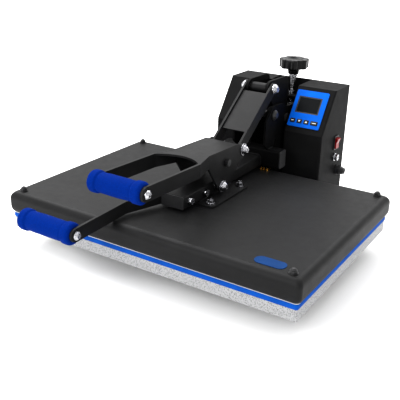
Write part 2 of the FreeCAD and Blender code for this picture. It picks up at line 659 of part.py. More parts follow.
def arm_frame():
    plate = block(-61, 61, -54, 84, COVER_TOP, BEAM_BOTTOM)
    plate = rounded(plate, 12, is_vertical)
    mounts = [(sx * MOUNT_BOLT_X, y) for sx in (-1, 1) for y in MOUNT_BOLT_Y]
    save("mounting_plate", plate.cut([rod_z(M8_HOLE_R, x, y, 40, 50) for x, y in mounts]))

    bolts = []
    for x, y in mounts:
        washer = rod_z(8.0, x, y, BEAM_BOTTOM, BEAM_BOTTOM + 1.6)
        head = hex_prism(12, 5.5, V(x, y, BEAM_BOTTOM + 1.6), V(0, 0, 1))
        end = rod_z(3.4, x, y, BEAM_BOTTOM + 7.1, BEAM_BOTTOM + 10)
        bolts.append(merge([washer, head, end, rod_z(M8_R, x, y, 6, BEAM_BOTTOM)]))
    save("mounting_bolts", Part.makeCompound(bolts))

    beam = rect_tube_y(-BEAM_HALF, BEAM_HALF, BEAM_FRONT, BEAM_BACK, BEAM_BOTTOM, BEAM_TOP)
    holes = [rod_x(PIVOT_BOLT_R, LEVER_PIVOT, -40, 40)]
    holes += [rod_x(M8_R, (y, HANDLE_BOLT_Z), -40, 40) for y in HANDLE_BOLT_Y]
    save("arm_beam", beam.cut(holes))

    plug = block(-BEAM_HALF + 0.5, BEAM_HALF - 0.5, BEAM_FRONT - 3, BEAM_FRONT,
                 BEAM_BOTTOM + 0.5, BEAM_TOP - 0.5)
    plug = rounded(plug, 2.5, lambda e: abs(e.Length - 3) < 1e-6)
    tail = block(-BEAM_HALF + TUBE_WALL, BEAM_HALF - TUBE_WALL, BEAM_FRONT, BEAM_FRONT + 9,
                 BEAM_BOTTOM + TUBE_WALL, BEAM_TOP - TUBE_WALL)
    plug = merge([plug, tail])

    cross = rect_tube_x(-CROSS_HALF, CROSS_HALF, BEAM_BACK, CROSS_BACK, BEAM_BOTTOM, CROSS_TOP, 5.0)
    save("rear_crosstube", cross)
    cap = block(CROSS_HALF, CROSS_HALF + 2, BEAM_BACK + 1, CROSS_BACK - 1, BEAM_BOTTOM + 1, CROSS_TOP - 1)
    cap = rounded(cap, 4, lambda e: abs(e.Length - 2) < 1e-6)
    save("tube_end_caps", Part.makeCompound([plug, cap, mirrored(cap)]))

    inner, outer = EAR_LAYER
    profile = side_plate([(BEAM_BACK, CROSS_TOP), (184, 98), (184, 148), (202, 166), (236, 158),
                          (CROSS_BACK, CROSS_TOP)], inner, outer)
    ear = merge([profile, rod_x(18, HINGE, inner, outer)])
    ear = ear.cut(rod_x(SHAFT_R + RUNNING, HINGE, inner - 1, outer + 1))
    save("hinge_ears", pair(ear))

    reach = LEVER_LAYER[1]
    shank = rod_x(PIVOT_BOLT_R, LEVER_PIVOT, -reach - 0.5, reach + 0.5)
    spacers = [Part.makeCylinder(11, LEVER_LAYER[0] - BEAM_HALF - 0.3, V(side * BEAM_HALF, *LEVER_PIVOT),
                                 V(side, 0, 0)) for side in (-1, 1)]
    washers = [Part.makeCylinder(12, 1.5, V(side * (reach + 0.5), *LEVER_PIVOT), V(side, 0, 0))
               for side in (-1, 1)]
    heads = [domed_head(9.5, 9, V(side * (reach + 2.0), *LEVER_PIVOT), V(side, 0, 0)) for side in (-1, 1)]
    save("lever_pivot_bolt", merge([shank] + spacers + washers + heads))


def front_handle():
    side = -BEAM_HALF
    wide = FRONT_GRIP_X[1]
    plan = plan_plate([(side, -5), (side, -95), (wide + HANDLE_T, -165), (wide + HANDLE_T, -320),
                       (wide, -320), (wide, -163), (side - HANDLE_T, -93), (side - HANDLE_T, -5)], 20, 100)
    y, z = FRONT_GRIP
    profile = side_plate([(-5, 48.5), (-5, 71.5), (-95, 71.5), (y, z + 12), (y, z - 12), (-95, 48.5)],
                         -100, 0)
    bar = plan.common(merge([profile, rod_x(12, FRONT_GRIP, -100, 0)]))
    bar = bar.cut([rod_x(M8_R, (hole_y, HANDLE_BOLT_Z), -40, -20) for hole_y in HANDLE_BOLT_Y]
                  + [rod_x(GRIP_ROD_R, FRONT_GRIP, -70, -40)])
    save("front_handle_bar", bar)

    bolts = []
    for hole_y in HANDLE_BOLT_Y:
        head = rod_x(6.5, (hole_y, HANDLE_BOLT_Z), BEAM_HALF, BEAM_HALF + 7)
        socket = hex_prism(6, 5, V(BEAM_HALF + 4, hole_y, HANDLE_BOLT_Z), V(1, 0, 0))
        nut = hex_prism(13, 6, V(side - HANDLE_T, hole_y, HANDLE_BOLT_Z), V(-1, 0, 0))
        shank = rod_x(M8_R, (hole_y, HANDLE_BOLT_Z), side - HANDLE_T, BEAM_HALF)
        bolts.append(merge([head, shank, nut]).cut(socket))
    save("handle_bar_bolts", Part.makeCompound(bolts))

    save("front_grip", grip(FRONT_GRIP, FRONT_GRIP_X[0], FRONT_GRIP_X[1], closed_left=True))
    rod = rod_x(GRIP_ROD_R, FRONT_GRIP, FRONT_GRIP_X[0] + 6, wide + HANDLE_T)
    head = domed_head(8, 6.5, V(wide + HANDLE_T, *FRONT_GRIP), V(1, 0, 0))
    save("front_grip_rod", merge([rod, head]))


def grip(centre, x0, x1, closed_left=False):
    """Foam sleeve with a thicker collar at each end."""
    sleeve = rod_x(GRIP_R, centre, x0, x1)
    collars = [rod_x(COLLAR_R, centre, start, start + COLLAR_LENGTH) for start in (x0, x1 - COLLAR_LENGTH)]
    body = merge([sleeve] + collars)
    body = rounded(body, 4, lambda e: lies_on_end(e, x0, x1))
    bore_start = x0 + 6 if closed_left else x0 - 1
    return body.cut(rod_x(GRIP_ROD_R, centre, bore_start, x1 + 1))


def lies_on_end(edge, x0, x1):
    return all(abs(vertex.X - x0) < 1e-6 or abs(vertex.X - x1) < 1e-6 for vertex in edge.Vertexes)


# ================================================================ lever
def lever_top(y):
    return LEVER_TOP_REAR[1] + LEVER_SLOPE * (LEVER_TOP_REAR[0] - y)


def lever_side_plate():
    """One bent plate: narrow over the beam, flaring out to the forward arm."""
    inner, outer = LEVER_LAYER
    wide_in, wide_out = LEVER_WIDE
    plan = plan_plate([(inner, 130), (inner, LEVER_NARROW_Y - 1), (wide_in, LEVER_WIDE_Y + 1),
                       (wide_in, -280), (wide_out, -280), (wide_out, LEVER_WIDE_Y),
                       (outer, LEVER_NARROW_Y), (outer, 130)], 20, 180)
    grip_y, grip_z = LEVER_GRIP
    rear_y = LEVER_TOP_REAR[0]
    arm = side_plate([(rear_y, lever_top(rear_y)), (grip_y, grip_z + 13), (grip_y, grip_z - 13),
                      (LEVER_WIDE_Y, lever_top(LEVER_WIDE_Y) - LEVER_ARM_DEPTH), (rear_y, 106)], 0, 100)
    leg = capsule(LEVER_PIVOT, LINK_PIVOT, 12, 13, 0, 100)
    gusset = side_plate([(-36, 113), (4.5, 57), (22, 60), (98, 104), (104, 122), (rear_y, lever_top(rear_y)),
                         (-36, 130)], 0, 100)
    side = merge([arm, leg, gusset, rod_x(13, LEVER_GRIP, 0, 100)])
    plate = plan.common(side)
    return plate.cut([rod_x(PIVOT_BOLT_R + RUNNING, LEVER_PIVOT, 0, 100),
                      rod_x(PIVOT_BOLT_R, LINK_PIVOT, 0, 100),
                      rod_x(M8_R, STOP_BOLT, 0, 100),
                      rod_x(GRIP_ROD_R, LEVER_GRIP, 0, 100)])


def lever():
    plate = lever_side_plate()
    left = mirrored(plate)
    save("lever_side_plates", Part.makeCompound([plate, left]))

    inner, wide_in = LEVER_LAYER[0], LEVER_WIDE[0]
    notch_y = -64.0
    right_end, left_end = V(wide_in, LEVER_WIDE_Y, 0), V(-wide_in, LEVER_WIDE_Y, 0)
    front_arc = Part.Arc(right_end, V(0, notch_y, 0), left_end).toShape()
    right_side = Part.makePolygon([V(inner, LEVER_TOP_REAR[0], 0), V(inner, LEVER_NARROW_Y - 1, 0),
                                   V(wide_in, LEVER_WIDE_Y + 1, 0), V(wide_in, LEVER_WIDE_Y, 0)])
    left_side = Part.makePolygon([V(-wide_in, LEVER_WIDE_Y, 0), V(-wide_in, LEVER_WIDE_Y + 1, 0),
                                  V(-inner, LEVER_NARROW_Y - 1, 0), V(-inner, LEVER_TOP_REAR[0], 0)])
    back = Part.makePolygon([V(-inner, LEVER_TOP_REAR[0], 0), V(inner, LEVER_TOP_REAR[0], 0)])
    outline = Part.Wire(right_side.Edges + front_arc.Edges + left_side.Edges + back.Edges)
    plan = Part.Face(outline).extrude(V(0, 0, 200))
    rear_y = LEVER_TOP_REAR[0]
    layer = side_plate([(rear_y, lever_top(rear_y)), (LEVER_WIDE_Y - 5, lever_top(LEVER_WIDE_Y - 5)),
                        (LEVER_WIDE_Y - 5, lever_top(LEVER_WIDE_Y - 5) - WEB_THICKNESS),
                        (rear_y, lever_top(rear_y) - WEB_THICKNESS)], -100, 100)
    save("lever_web", plan.common(layer))

    foam = grip(LEVER_GRIP, LEVER_GRIP_X[0], LEVER_GRIP_X[1], closed_left=True).cut(left)
    save("lever_grip", foam)
    rod = rod_x(GRIP_ROD_R, LEVER_GRIP, LEVER_GRIP_X[0] + 6, LEVER_WIDE[1])
    head = domed_head(8, 6.5, V(LEVER_WIDE[1], *LEVER_GRIP), V(1, 0, 0))
    save("lever_grip_rod", merge([rod, head]))

    outer = LEVER_LAYER[1]
    bolt = rod_x(PIVOT_BOLT_R, LINK_PIVOT, LEVER_LAYER[0], outer)
    washer = Part.makeCylinder(12, 1.5, V(outer, *LINK_PIVOT), V(1, 0, 0))
    head = domed_head(9.5, 8, V(outer + 1.5, *LINK_PIVOT), V(1, 0, 0))
    save("link_bolts", pair(merge([bolt, washer, head])))

    stop = rod_x(M8_R, STOP_BOLT, -outer, outer)
    tube = rod_x(7, STOP_BOLT, -LEVER_LAYER[0], LEVER_LAYER[0])
    ends = [hex_prism(13, 6, V(side * outer, *STOP_BOLT), V(side, 0, 0)) for side in (-1, 1)]
    save("stop_bolt", merge([stop, tube] + ends))


# ================================================================ link
def link():
    inner, outer = LINK_LAYER
    flange = capsule(LINK_PIVOT, TOP_PIVOT, 11.5, 12.5, inner, outer)
    flange = flange.cut([rod_x(PIVOT_BOLT_R + RUNNING, pivot, inner - 1, outer + 1)
                         for pivot in (TOP_PIVOT, LINK_PIVOT)])
    dy, dz = TOP_PIVOT[0] - LINK_PIVOT[0], TOP_PIVOT[1] - LINK_PIVOT[1]
    length = math.hypot(dy, dz)
    along, up = (dy / length, dz / length), (-dz / length, dy / length)

    def spot(distance, height):
        return (LINK_PIVOT[0] + along[0] * distance + up[0] * height,
                LINK_PIVOT[1] + along[1] * distance + up[1] * height)

    low, high = LINK_WEB_OFFSET
    far = length - LINK_WEB_SHORT
    web = side_plate([spot(LINK_WEB_FROM, low), spot(far, low), spot(far, high), spot(LINK_WEB_FROM, high)],
                     -inner, inner)
    save("link_channel", merge([flange, mirrored(flange), web]))


base_frame()
lower_platen()
tower()
pressure_rocker()
pressure_screw()
control_housing()
control_panel()
electrical_parts()
upper_platen()
arm_frame()
front_handle()
lever()
link()
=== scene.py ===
import json
import math

import bmesh
import bpy
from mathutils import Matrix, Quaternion, Vector, noise


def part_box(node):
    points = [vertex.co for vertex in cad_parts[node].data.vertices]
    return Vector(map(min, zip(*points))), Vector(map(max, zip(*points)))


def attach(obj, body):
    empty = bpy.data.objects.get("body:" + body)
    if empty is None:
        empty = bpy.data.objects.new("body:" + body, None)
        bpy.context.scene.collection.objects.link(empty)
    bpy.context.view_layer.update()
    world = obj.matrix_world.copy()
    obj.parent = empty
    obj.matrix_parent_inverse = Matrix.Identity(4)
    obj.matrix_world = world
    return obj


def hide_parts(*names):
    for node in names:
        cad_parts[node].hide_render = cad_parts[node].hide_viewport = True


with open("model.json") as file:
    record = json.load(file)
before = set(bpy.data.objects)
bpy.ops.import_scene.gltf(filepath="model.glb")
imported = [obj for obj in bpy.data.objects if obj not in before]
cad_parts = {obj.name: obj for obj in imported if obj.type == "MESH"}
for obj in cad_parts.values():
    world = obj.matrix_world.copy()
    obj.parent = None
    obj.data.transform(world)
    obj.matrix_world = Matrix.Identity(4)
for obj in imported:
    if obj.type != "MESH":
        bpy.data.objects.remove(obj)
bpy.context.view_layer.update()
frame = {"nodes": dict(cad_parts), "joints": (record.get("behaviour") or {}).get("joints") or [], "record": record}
MM = 0.001

# Foam grips. The collar is the fat part at each end.
GRIP_COLLAR = 18 * MM
GRIP_COLLAR_FALL = 1.2 * MM
GRIP_BORE = 6.1 * MM
GRIP_CORNER = 5.5 * MM
GRIP_WAIST_INSET = 2.2 * MM
GRIP_CROWN = 0.5 * MM
GRIP_GROOVE_DEPTH = 3.1 * MM
GRIP_GROOVE_WIDTH = 1.3 * MM
GRIP_WOBBLE = 0.25 * MM
GRIP_STEPS = 90

# Points round a foam grip or the spacer sleeve.
SLEEVE_SEGMENTS = 72

# Silicone sheet.
SHEET_BULGE = 1.1 * MM
SHEET_INSET = 0.9 * MM
SHEET_CORNER = 4 * MM
SHEET_RIPPLE = 0.12 * MM
SHEET_LAYERS = 12

# Adjusting screw.
SCREW_PITCH = 2 * MM
SCREW_THREAD_DEPTH = 1.1 * MM
SCREW_CHAMFER = 2 * MM
SCREW_SEGMENTS = 36
SCREW_LAYERS_PER_PITCH = 6
SCREW_PLAIN_STEP = 6 * MM
THREAD_BELOW_BRIDGE = 6 * MM

# Spacer sleeve on the top pivot bolt.
SLEEVE_RADIUS = 9.9 * MM
SLEEVE_BORE = 9.4 * MM
SLEEVE_CHAMFER = 0.6 * MM
SLEEVE_END_GAP = 6.05 * MM

# Weld beads.
EAR_INNER_X = 34.5 * MM
EAR_WELD_FRONT_INSET = 4 * MM
EAR_WELD_BACK_INSET = 5 * MM
BEAM_WELD_INSET = 3 * MM
EAR_WELD_RADIUS = 1.7 * MM
BEAM_WELD_RADIUS = 1.8 * MM
PLATE_WELD_RADIUS = 1.6 * MM
WELD_STEP = 0.5 * MM
WELD_RIPPLE = 2.4 * MM
WELD_SIDES = 12

# Control panel. Display frame sizes are half width and half height in millimetres.
PRINT_THICKNESS = 0.12 * MM
FACE_TOLERANCE = 0.1 * MM
DISPLAY_FRAME_INNER = (24.2, 16.6)
DISPLAY_FRAME_OUTER = (27.1, 19.3)
DISPLAY_FRAME_HEIGHT = 0.7 * MM

# Studio, in metres. CAMERA_ANGLES are azimuth, elevation and roll in degrees, and the lens and
# sensor are in millimetres.
FLOOR_HALF = 12
LIGHT_TARGET = (0, 0, 0.1)
WORLD_STRENGTH = 1.15
CAMERA_ANGLES = (32.53, 22.71, 1.09)
CAMERA_OFFSET = (0.6363, -1.0014, 0.5256)
CAMERA_LENS = 59.28
CAMERA_SENSOR = 36.0


# ---------------------------------------------------------------- node helpers
# Textures lie in object space, so their scales are per metre. Bump distances are in metres.
class Tree:
    """A material's node tree, its shader, and object coordinates in metres."""

    def __init__(self, name):
        self.material = bpy.data.materials.new(name)
        self.material.use_nodes = True
        self.nodes = self.material.node_tree.nodes
        self.links = self.material.node_tree.links
        self.shader = self.nodes["Principled BSDF"]
        self.place = self.add("ShaderNodeTexCoord").outputs["Object"]

    def add(self, kind, **inputs):
        node = self.nodes.new(kind)
        for key, value in inputs.items():
            node.inputs[key.replace("_", " ")].default_value = value
        return node

    def stretched(self, scale):
        mapping = self.add("ShaderNodeMapping", Scale=scale)
        self.links.new(self.place, mapping.inputs["Vector"])
        return mapping.outputs["Vector"]

    def noise(self, scale, detail=3.0, rough=0.5, vector=None):
        node = self.add("ShaderNodeTexNoise", Scale=scale, Detail=detail, Roughness=rough)
        self.links.new(vector or self.place, node.inputs["Vector"])
        return node.outputs["Fac"]

    def cells(self, scale, feature="F1"):
        node = self.add("ShaderNodeTexVoronoi", Scale=scale)
        node.feature = feature
        self.links.new(self.place, node.inputs["Vector"])
        return node.outputs["Distance"]

    def ramp(self, source, low, high, start=0.35, end=0.65):
        node = self.add("ShaderNodeValToRGB")
        for element, position, colour in zip(node.color_ramp.elements, (start, end), (low, high)):
            element.position = position
            element.color = (*colour, 1.0)
        self.links.new(source, node.inputs["Fac"])
        return node.outputs["Color"]

    def span(self, source, low, high):
        node = self.add("ShaderNodeMapRange", To_Min=low, To_Max=high)
        self.links.new(source, node.inputs["Value"])
        return node.outputs["Result"]

    def add_up(self, first, second, share):
        """first plus share times second."""
        node = self.add("ShaderNodeMath")
        node.operation = "MULTIPLY_ADD"
        node.inputs[1].default_value = share
        self.links.new(second, node.inputs[0])
        self.links.new(first, node.inputs[2])
        return node.outputs["Value"]

    def bump(self, height, distance, strength):
        node = self.add("ShaderNodeBump", Strength=strength, Distance=distance)
        self.links.new(height, node.inputs["Height"])
        self.links.new(node.outputs["Normal"], self.shader.inputs["Normal"])

    def set(self, **inputs):
        for key, value in inputs.items():
            self.shader.inputs[key.replace("_", " ")].default_value = value

    def feed(self, socket, source):
        self.links.new(source, self.shader.inputs[socket])


def shades(colour, spread):
    """A darker and a lighter version of a colour."""
    return [tuple(min(1.0, c * (1 + side * spread)) for c in colour) for side in (-1, 1)]


# ---------------------------------------------------------------- materials
def powder_coat(name, colour, roughness, grain, depth, specular=0.35):
    """Baked powder paint: fine pimples over a soft orange peel, slightly uneven sheen."""
    t = Tree(name)
    broad = t.noise(22.0, 4.0)
    t.feed("Base Color", t.ramp(broad, *shades(colour, 0.12)))
    t.feed("Roughness", t.span(t.noise(60.0, 5.0), roughness - 0.07, roughness + 0.07))
    pimples = t.noise(grain, 2.0, 0.6)
    peel = t.noise(grain * 0.22, 2.0)
    t.bump(t.add_up(pimples, peel, 0.8), depth, 0.5)
    t.set(Specular_IOR_Level=specular)
    return t.material


def polished(name, colour, roughness):
    """Ground metal with fine hairlines along X."""
    t = Tree(name)
    t.set(Metallic=1.0)
    t.feed("Base Color", t.ramp(t.noise(180.0, 4.0), *shades(colour, 0.10)))
    hairs = t.noise(900.0, 3.0, 0.7, t.stretched((0.08, 1.0, 1.0)))
    t.feed("Roughness", t.span(hairs, roughness * 0.6, roughness * 1.7))
    t.bump(hairs, 0.00004, 0.35)
    return t.material


def plated(name, colour):
    """Zinc or nickel plating: faceted glints from small dents, with painted shade and painted glints in the
    colour, darker in the dents' hollows and lighter on their rims.
    """
    t = Tree(name)
    t.set(Metallic=1.0)
    dents_and_glints = t.add_up(t.cells(420.0), t.noise(240.0, 3.0, 0.6), 0.7)
    # Painted shade and painted glints: the base colour is darker in the dents' hollows and lighter on their rims.
    t.feed("Base Color", t.ramp(dents_and_glints, *shades(colour, 0.45), 0.35, 1.0))
    t.feed("Roughness", t.span(t.noise(500.0, 3.0), 0.08, 0.24))
    t.bump(dents_and_glints, 0.0011, 0.55)
    return t.material


def cast_metal(name, colour):
    """Sand-cast aluminium: pale, speckled with darker pits and bright grains."""
    t = Tree(name)
    t.set(Metallic=0.35, Specular_IOR_Level=0.4)
    speckle = t.add_up(t.cells(430.0), t.noise(260.0, 5.0, 0.75), 0.9)
    t.feed("Base Color", t.ramp(speckle, *shades(colour, 0.62), 0.50, 1.0))
    t.feed("Roughness", t.span(t.noise(240.0, 4.0), 0.38, 0.62))
    t.bump(speckle, 0.00035, 0.6)
    return t.material


def milled(name, colour):
    """Machined plate with fine straight tool marks."""
    t = Tree(name)
    t.set(Metallic=1.0)
    marks = t.noise(700.0, 4.0, 0.6, t.stretched((0.03, 1.0, 1.0)))
    t.feed("Base Color", t.ramp(marks, *shades(colour, 0.10)))
    t.feed("Roughness", t.span(marks, 0.22, 0.40))
    t.bump(marks, 0.00005, 0.4)
    return t.material


def foam(name, colour):
    """Closed-cell foam: open skin with tiny cells, soft sheen."""
    t = Tree(name)
    t.feed("Base Color", t.ramp(t.noise(420.0, 6.0, 0.65), *shades(colour, 0.14)))
    t.feed("Roughness", t.span(t.noise(420.0, 3.0), 0.66, 0.88))
    t.bump(t.add_up(t.cells(1150.0), t.noise(420.0, 4.0), 0.5), 0.0003, 0.45)
    t.set(Specular_IOR_Level=0.03)
    return t.material


def rubber(name, colour, roughness, scale=700.0, depth=0.00012, specular=0.4):
    """Matt rubber with a fine grain."""
    t = Tree(name)
    t.feed("Base Color", t.ramp(t.noise(45.0, 5.0), *shades(colour, 0.10)))
    t.feed("Roughness", t.span(t.noise(260.0, 4.0), roughness - 0.1, roughness + 0.08))
    t.bump(t.noise(scale, 3.0, 0.6), depth, 0.6)
    t.set(Specular_IOR_Level=specular)
    return t.material


def moulded(name, colour, roughness, scale=1400.0, depth=0.00008, specular=0.35):
    """Moulded plastic with a fine spark-eroded texture."""
    t = Tree(name)
    t.feed("Base Color", t.ramp(t.noise(35.0, 3.0), *shades(colour, 0.10)))
    t.feed("Roughness", t.span(t.noise(150.0, 4.0), roughness - 0.06, roughness + 0.06))
    t.bump(t.noise(scale, 2.0), depth, 0.5)
    t.set(Specular_IOR_Level=specular)
    return t.material


def felt(name, colour):
    """Ceramic fibre felt, a mat of crossed threads."""
    t = Tree(name)
    long_way = t.noise(500.0, 4.0, 0.7, t.stretched((0.15, 1.0, 1.0)))
    cross_way = t.noise(500.0, 4.0, 0.7, t.stretched((1.0, 0.15, 1.0)))
    threads = t.add_up(long_way, cross_way, 1.0)
    t.feed("Base Color", t.ramp(threads, *shades(colour, 0.18), 0.7, 1.3))
    t.feed("Roughness", t.span(long_way, 0.85, 1.0))
    t.bump(threads, 0.0006, 0.8)
    return t.material


def circuit_board(name, colour):
    """Green board with copper tracks along the edges of its cells."""
    t = Tree(name)
    tracks = t.cells(160.0, "DISTANCE_TO_EDGE")
    t.feed("Base Color", t.ramp(tracks, (0.55, 0.40, 0.12), colour, 0.02, 0.06))
    t.feed("Roughness", t.span(t.noise(90.0), 0.30, 0.50))
    t.bump(tracks, 0.0001, 0.5)
    return t.material


POWDER_BLACK = (0.0085, 0.0085, 0.0088)
SATIN_BLACK = (0.0092, 0.0092, 0.0096)
HOUSING_BLACK = (0.0105, 0.0105, 0.0108)
# Painted shade: a darker copy of the frame paint's black, for parts that sit in shade inside the frame.
SHADE_BLACK = (0.0028, 0.0028, 0.003)
GRIP_BLUE = (0.0, 0.018, 0.155)
PAD_BLUE = (0.0, 0.062, 0.31)
PANEL_BLUE = (0.0, 0.115, 0.58)

MATERIALS = {
    "cover_paint": powder_coat("cover_paint", POWDER_BLACK, 0.50, grain=1500.0, depth=0.00012,
                               specular=0.15),
    "frame_paint": powder_coat("frame_paint", SATIN_BLACK, 0.46, grain=1800.0, depth=0.00009,
                               specular=0.14),
    # inner_paint is the frame paint made darker and duller, as painted shade on parts that sit in shade.
    "inner_paint": powder_coat("inner_paint", SHADE_BLACK, 0.60, grain=1600.0, depth=0.00012,
                               specular=0.08),
    "housing_paint": powder_coat("housing_paint", HOUSING_BLACK, 0.58, grain=1300.0, depth=0.00016,
                                 specular=0.05),
    "chrome": plated("chrome", (0.32, 0.32, 0.335)),
    "steel": polished("steel", (0.42, 0.42, 0.44), roughness=0.26),
    # Dark steel: the cover screws are really black, while on the hinge shaft this darkness is painted shade.
    "black_steel": moulded("black_steel", (0.018, 0.018, 0.019), 0.36, scale=1100.0, depth=0.00006),
    "cast_aluminium": cast_metal("cast_aluminium", (0.21, 0.211, 0.214)),
    "platen_aluminium": milled("platen_aluminium", (0.42, 0.425, 0.43)),
    "silicone": rubber("silicone", PAD_BLUE, 0.72, specular=0.12),
    "grip_foam": foam("grip_foam", GRIP_BLUE),
    "foot_rubber": rubber("foot_rubber", (0.016, 0.016, 0.016), 0.78, scale=500.0, depth=0.0002),
    "black_plastic": moulded("black_plastic", (0.020, 0.020, 0.021), 0.46),
    "knob_plastic": moulded("knob_plastic", (0.003, 0.003, 0.0033), 0.30, scale=900.0, depth=0.00005,
                            specular=0.2),
    "panel_blue": moulded("panel_blue", PANEL_BLUE, 0.42, scale=2200.0, depth=0.00004, specular=0.08),
    "badge_blue": moulded("badge_blue", (0.0, 0.032, 0.125), 0.5, scale=800.0, depth=0.00005,
                          specular=0.1),
    "display": moulded("display", (0.006, 0.0068, 0.0078), 0.42, scale=300.0, depth=0.00002,
                       specular=0.08),
    "button_plastic": moulded("button_plastic", (0.006, 0.006, 0.0065), 0.45),
    "key_red": moulded("key_red", (0.22, 0.002, 0.004), 0.30, scale=600.0, depth=0.00003,
                       specular=0.25),
    "brass": polished("brass", (0.62, 0.40, 0.12), roughness=0.22),
    "board": circuit_board("board", (0.010, 0.13, 0.05)),
    "blanket": felt("blanket", (0.72, 0.70, 0.64)),
}
PRINT_WHITE = moulded("print_white", (0.80, 0.80, 0.78), 0.5, scale=1800.0, depth=0.00003)


def floor_material():
    t = Tree("floor_white")
    t.feed("Base Color", t.ramp(t.noise(3.0, 2.0), (0.93, 0.93, 0.93), (0.95, 0.95, 0.95)))
    t.set(Roughness=0.9, Specular_IOR_Level=0.0)
    return t.material


def dress(obj, material):
    obj.data.materials.clear()
    obj.data.materials.append(material)


def dress_cad():
    slot_of = {part["node"]: part["material_slot"] for part in frame["record"]["subparts"]}
    for node, obj in frame["nodes"].items():
        dress(obj, MATERIALS[slot_of[node]])


# ---------------------------------------------------------------- mesh helpers
def piece(name, mesh, slot, body, material=None, smooth=True):
    obj = bpy.data.objects.new(name, mesh)
    bpy.context.scene.collection.objects.link(obj)
    dress(obj, material or MATERIALS[slot])
    if smooth:
        mesh.shade_smooth()
    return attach(obj, body)


def mesh_from(name, verts, faces):
    mesh = bpy.data.meshes.new(name)
    mesh.from_pydata([tuple(v) for v in verts], [], faces)
    shape = bmesh.new()
    shape.from_mesh(mesh)
    bmesh.ops.recalc_face_normals(shape, faces=shape.faces)
    shape.to_mesh(mesh)
    shape.free()
    return mesh


def rings_to_mesh(name, rings, closed_loop=False):
    """Skin over rings of equally many points. The ends are capped, or joined when closed_loop is set."""
    count = len(rings[0])
    verts = [point for ring in rings for point in ring]
    faces = []
    last = len(rings) if closed_loop else len(rings) - 1
    for i in range(last):
        a, b = i * count, ((i + 1) % len(rings)) * count
        for j in range(count):
            k = (j + 1) % count
            faces.append((a + j, a + k, b + k, b + j))
    if not closed_loop:
        faces.append(tuple(range(count)))
        faces.append(tuple(range((len(rings) - 1) * count, len(rings) * count)))
    return mesh_from(name, verts, faces)


def turned_about_x(name, profile, centre, bore, wobble=0.0):
    """A sleeve along X. profile is (x, radius) from one end to the other; bore is the hole's radius."""
    outline = list(profile) + [(profile[-1][0], bore), (profile[0][0], bore)]
    rings = []
    for i in range(SLEEVE_SEGMENTS):
        angle = 2 * math.pi * i / SLEEVE_SEGMENTS
        ring = []
        for x, r in outline:
            spot = Vector((x, r * math.cos(angle), r * math.sin(angle)))
            if r > bore:
                r += wobble * noise.noise(spot * 90.0)
            ring.append((x, centre.y + r * math.cos(angle), centre.z + r * math.sin(angle)))
        rings.append(ring)
    return rings_to_mesh(name, rings, closed_loop=True)


# ---------------------------------------------------------------- pieces
def grip_radius(x, length, full):
    """Radius of a foam grip at x from one end. full is the radius of its collars."""
    from_end = min(x, length - x)
    if from_end < GRIP_COLLAR:
        bulge = math.sin(math.pi * min(1.0, from_end / GRIP_COLLAR * 0.5 + 0.25))
        radius = full - GRIP_COLLAR_FALL * (1 - bulge)
    else:
        along = (x - GRIP_COLLAR) / (length - 2 * GRIP_COLLAR)
        radius = full - GRIP_WAIST_INSET + GRIP_CROWN * math.sin(math.pi * along)
    edge = abs(from_end - GRIP_COLLAR)
    groove = full - GRIP_GROOVE_DEPTH
    radius -= (radius - groove) * math.exp(-(edge / GRIP_GROOVE_WIDTH) ** 2)
    if from_end < GRIP_CORNER:
        inset = GRIP_CORNER - from_end
        radius -= GRIP_CORNER - math.sqrt(max(0.0, GRIP_CORNER ** 2 - inset ** 2))
    return max(radius, full - GRIP_CORNER)


def foam_grip(name, node, body):
    """Foam sleeve, lightly crowned, with a fat rounded collar at each end."""
    low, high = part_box(node)
    centre = (low + high) / 2
    full = (high.z - low.z) / 2
    length = high.x - low.x
    profile = []
    for i in range(GRIP_STEPS + 1):
        x = length * (0.5 - 0.5 * math.cos(math.pi * i / GRIP_STEPS))
        profile.append((low.x + x, grip_radius(x, length, full)))
    mesh = turned_about_x(name, profile, centre, GRIP_BORE, wobble=GRIP_WOBBLE)
    grip = piece(name, mesh, "grip_foam", body)
    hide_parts(node)


def rounded_outline(half_x, half_y, corner, per_corner=10, per_side=24):
    """Points round a rectangle with rounded corners, anticlockwise from the corner at +X, +Y."""
    signs = ((1, 1), (-1, 1), (-1, -1), (1, -1))
    points = []
    for quarter, (sx, sy) in enumerate(signs):
        cx, cy = sx * (half_x - corner), sy * (half_y - corner)
        for i in range(per_corner + 1):
            angle = math.pi / 2 * (quarter + i / per_corner)
            points.append((cx + corner * math.cos(angle), cy + corner * math.sin(angle)))
        end = points[-1]
        next_sx, next_sy = signs[(quarter + 1) % 4]
        next_angle = math.pi / 2 * (quarter + 1)
        start = (next_sx * (half_x - corner) + corner * math.cos(next_angle),
                 next_sy * (half_y - corner) + corner * math.sin(next_angle))
        for i in range(1, per_side):
            share = i / per_side
            points.append((end[0] + (start[0] - end[0]) * share, end[1] + (start[1] - end[1]) * share))
    return points


def silicone_sheet():
    """The silicone sheet between the platens, its edge bulging at half its thickness."""
    low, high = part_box("silicone_pad")
    centre = (low + high) / 2
    half_x, half_y = (high.x - low.x) / 2, (high.y - low.y) / 2
    rings = []
    for i in range(SHEET_LAYERS + 1):
        t = i / SHEET_LAYERS
        swell = SHEET_BULGE * (1 - abs(2 * t - 1) ** 3) - SHEET_INSET
        z = low.z + (high.z - low.z) * t
        ring = []
        for x, y in rounded_outline(half_x + swell, half_y + swell, SHEET_CORNER):
            ripple = SHEET_RIPPLE * noise.noise(Vector((x * 30, y * 30, z * 60)))
            scale = 1 + ripple / half_y
            ring.append((centre.x + x * scale, centre.y + y * scale, z))
        rings.append(ring)
    sheet = piece("silicone_sheet", rings_to_mesh("silicone_sheet", rings), "silicone", "base")
    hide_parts("silicone_pad")


